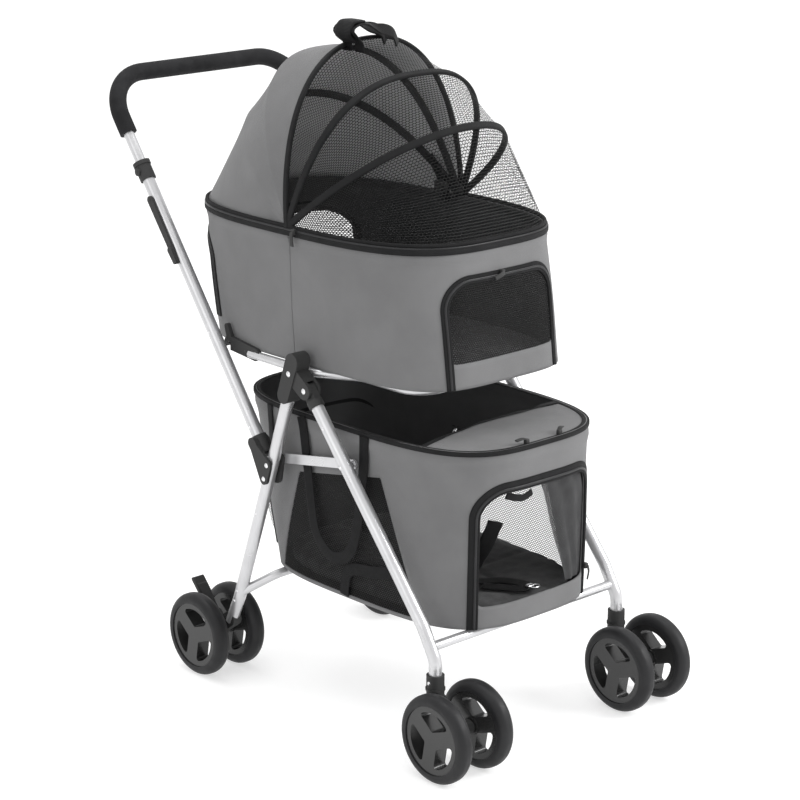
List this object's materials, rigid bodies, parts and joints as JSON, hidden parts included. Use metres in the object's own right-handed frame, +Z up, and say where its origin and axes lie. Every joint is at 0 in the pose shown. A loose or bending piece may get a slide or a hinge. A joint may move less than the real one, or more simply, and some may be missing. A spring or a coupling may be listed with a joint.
{
  "type": "pet stroller",
  "caption": "Two-tier folding pet stroller: tube frame, paired caster and braked wheels, padded cloth carriers with mesh canopy, windows and foam-grip handle.",
  "frame": {"origin": "on the floor, at the middle of the whole object's box", "axes": "+Z up, travel towards -Y, +X to the right of a person who looks along +Y"},
  "size_m": [0.556, 1.002, 1.175],
  "materials": {
    "silver_tube": "silver lacquer, semi gloss",
    "black_plastic": "moulded, fine grain",
    "black_steel": "black zinc",
    "bright_steel": "bright zinc",
    "grip_foam": "closed-cell foam, matt",
    "grey_cloth": "coated woven cloth",
    "black_mesh": "open mesh",
    "bow_sleeve": "woven binding",
    "webbing": "woven webbing",
    "pad_cloth": "brushed plush",
    "tyre": "foam tyre, matt",
    "hub_plastic": "moulded, satin"
  },
  "bodies": {
    "rear_frame": {"rear_leg_left": "silver_tube", "rear_leg_right": "silver_tube", "rear_cross_tube": "silver_tube", "axle_housings": "black_plastic", "rear_axles": "black_steel", "hinge_brackets": "black_plastic", "rear_frame_rivets": "bright_steel"},
    "brake_left": {"brake_pedal_left": "black_plastic"},
    "brake_right": {"brake_pedal_right": "black_plastic"},
    "front_frame": {"front_leg_left": "silver_tube", "front_leg_right": "silver_tube", "front_cross_tube": "silver_tube", "front_leg_fittings": "black_plastic", "caster_collars": "black_plastic", "front_frame_rivets": "bright_steel"},
    "link": {"link_bars": "silver_tube"},
    "caster_left": {"caster_fork_left": "black_plastic", "front_axle_left": "black_steel"},
    "caster_right": {"caster_fork_right": "black_plastic", "front_axle_right": "black_steel"},
    "handle": {"handle_tubes": "silver_tube", "handle_brackets": "black_plastic", "handle_rivets": "bright_steel", "handle_collars": "black_plastic"},
    "hand_loop": {"handle_bow": "silver_tube", "foam_grip": "grip_foam"},
    "lever_left": {"lock_lever_left": "black_plastic"},
    "lever_right": {"lock_lever_right": "black_plastic"},
    "support": {"support_loop": "silver_tube", "support_hook_left": "black_plastic", "support_hook_right": "black_plastic"},
    "upper_carrier": {"upper_body": "grey_cloth", "upper_pad": "pad_cloth", "canopy_hood": "grey_cloth", "canopy_mesh": "black_mesh", "canopy_main_bows": "bow_sleeve", "carry_straps": "webbing"},
    "upper_door": {"upper_door": "black_mesh"},
    "bow_middle": {"canopy_middle_bow": "bow_sleeve"},
    "bow_front": {"canopy_front_bow": "bow_sleeve"},
    "lower_carrier": {"lower_body": "grey_cloth", "lower_pad": "pad_cloth"},
    "lower_door": {"lower_door": "black_mesh"},
    "wheel_rear_left_outer": {"tyre_rear_left_outer": "tyre", "hub_rear_left_outer": "hub_plastic"},
    "wheel_rear_left_inner": {"tyre_rear_left_inner": "tyre", "hub_rear_left_inner": "hub_plastic"},
    "wheel_rear_right_outer": {"tyre_rear_right_outer": "tyre", "hub_rear_right_outer": "hub_plastic"},
    "wheel_rear_right_inner": {"tyre_rear_right_inner": "tyre", "hub_rear_right_inner": "hub_plastic"},
    "wheel_front_left_outer": {"tyre_front_left_outer": "tyre", "hub_front_left_outer": "hub_plastic"},
    "wheel_front_left_inner": {"tyre_front_left_inner": "tyre", "hub_front_left_inner": "hub_plastic"},
    "wheel_front_right_outer": {"tyre_front_right_outer": "tyre", "hub_front_right_outer": "hub_plastic"},
    "wheel_front_right_inner": {"tyre_front_right_inner": "tyre", "hub_front_right_inner": "hub_plastic"}
  },
  "joints": [
    {"name": "handle_fold", "type": "hinge", "parent": "rear_frame", "child": "handle", "pos_m": [0, 0.037, 0.397], "axis": [-1, 0, 0], "range_deg": [0, 90]},
    {"name": "front_fold", "type": "hinge", "parent": "rear_frame", "child": "front_frame", "pos_m": [0, -0.066, 0.574], "axis": [1, 0, 0], "range_deg": [0, 20]},
    {"name": "link_turn", "type": "hinge", "parent": "front_frame", "child": "link", "pos_m": [0, -0.155, 0.461], "axis": [1, 0, 0], "range_deg": [-18, 0]},
    {"name": "caster_swivel_left", "type": "hinge", "parent": "front_frame", "child": "caster_left", "pos_m": [-0.217, -0.374, 0.14], "axis": [0, 0, 1], "continuous": true},
    {"name": "brake_pedal_left", "type": "hinge", "parent": "rear_frame", "child": "brake_left", "pos_m": [-0.217, 0.205, 0.098], "axis": [-1, 0, 0], "range_deg": [0, 20]},
    {"name": "caster_swivel_right", "type": "hinge", "parent": "front_frame", "child": "caster_right", "pos_m": [0.217, -0.374, 0.14], "axis": [0, 0, 1], "continuous": true},
    {"name": "brake_pedal_right", "type": "hinge", "parent": "rear_frame", "child": "brake_right", "pos_m": [0.217, 0.205, 0.098], "axis": [-1, 0, 0], "range_deg": [0, 20]},
    {"name": "wheel_rear_left_outer_spin", "type": "hinge", "parent": "rear_frame", "child": "wheel_rear_left_outer", "pos_m": [-0.257, 0.195, 0.075], "axis": [1, 0, 0], "continuous": true},
    {"name": "wheel_rear_left_inner_spin", "type": "hinge", "parent": "rear_frame", "child": "wheel_rear_left_inner", "pos_m": [-0.177, 0.195, 0.075], "axis": [1, 0, 0], "continuous": true},
    {"name": "wheel_rear_right_outer_spin", "type": "hinge", "parent": "rear_frame", "child": "wheel_rear_right_outer", "pos_m": [0.257, 0.195, 0.075], "axis": [1, 0, 0], "continuous": true},
    {"name": "wheel_rear_right_inner_spin", "type": "hinge", "parent": "rear_frame", "child": "wheel_rear_right_inner", "pos_m": [0.177, 0.195, 0.075], "axis": [1, 0, 0], "continuous": true},
    {"name": "wheel_front_left_outer_spin", "type": "hinge", "parent": "caster_left", "child": "wheel_front_left_outer", "pos_m": [-0.263, -0.426, 0.075], "axis": [1, 0, 0], "continuous": true},
    {"name": "wheel_front_left_inner_spin", "type": "hinge", "parent": "caster_left", "child": "wheel_front_left_inner", "pos_m": [-0.171, -0.426, 0.075], "axis": [1, 0, 0], "continuous": true},
    {"name": "wheel_front_right_outer_spin", "type": "hinge", "parent": "caster_right", "child": "wheel_front_right_outer", "pos_m": [0.263, -0.426, 0.075], "axis": [1, 0, 0], "continuous": true},
    {"name": "wheel_front_right_inner_spin", "type": "hinge", "parent": "caster_right", "child": "wheel_front_right_inner", "pos_m": [0.171, -0.426, 0.075], "axis": [1, 0, 0], "continuous": true},
    {"name": "hand_loop_slide", "type": "slide", "parent": "handle", "child": "hand_loop", "axis": [0, 0.5849, 0.8111], "range_m": [0, 0.08]},
    {"name": "lock_lever_left", "type": "hinge", "parent": "handle", "child": "lever_left", "pos_m": [-0.2255, 0.34621, 0.8418], "axis": [0, 0.8111, -0.5849], "range_deg": [0, 12], "stiffness_Nm_per_rad": 0.05},
    {"name": "lock_lever_right", "type": "hinge", "parent": "handle", "child": "lever_right", "pos_m": [0.2255, 0.34621, 0.8418], "axis": [0, -0.8111, 0.5849], "range_deg": [0, 12], "stiffness_Nm_per_rad": 0.05},
    {"name": "support_tilt", "type": "hinge", "parent": "rear_frame", "child": "support", "pos_m": [0, -0.03, 0.597], "axis": [1, 0, 0], "range_deg": [0, 5]},
    {"name": "upper_carrier_lift", "type": "slide", "parent": "support", "child": "upper_carrier", "axis": [0, 0, 1], "range_m": [0, 0.25]},
    {"name": "lower_carrier_lift", "type": "slide", "parent": "rear_frame", "child": "lower_carrier", "axis": [0, 0, 1], "range_m": [0, 0.045]},
    {"name": "upper_door_open", "type": "hinge", "parent": "upper_carrier", "child": "upper_door", "pos_m": [0.116, -0.2958, 0.711], "axis": [0, 0.1372, 0.9905], "range_deg": [0, 80]},
    {"name": "lower_door_open", "type": "hinge", "parent": "lower_carrier", "child": "lower_door", "pos_m": [0.124, -0.378, 0.348], "axis": [0, -0.0198, 0.9998], "range_deg": [0, 80]},
    {"name": "canopy_middle_fold", "type": "hinge", "parent": "upper_carrier", "child": "bow_middle", "pos_m": [0, 0.004, 0.838], "axis": [-1, 0, 0], "range_deg": [0, 12], "deforming": ["canopy_mesh"]},
    {"name": "canopy_front_fold", "type": "hinge", "parent": "bow_middle", "child": "bow_front", "pos_m": [0, 0.004, 0.838], "axis": [-1, 0, 0], "range_deg": [0, 16]}
  ],
  "couplings": [
    {"joint": "front_fold", "follows": "handle_fold", "ratio": 0.22},
    {"joint": "link_turn", "follows": "handle_fold", "ratio": -0.1955},
    {"joint": "canopy_front_fold", "follows": "canopy_middle_fold", "ratio": 1.3333}
  ]
}
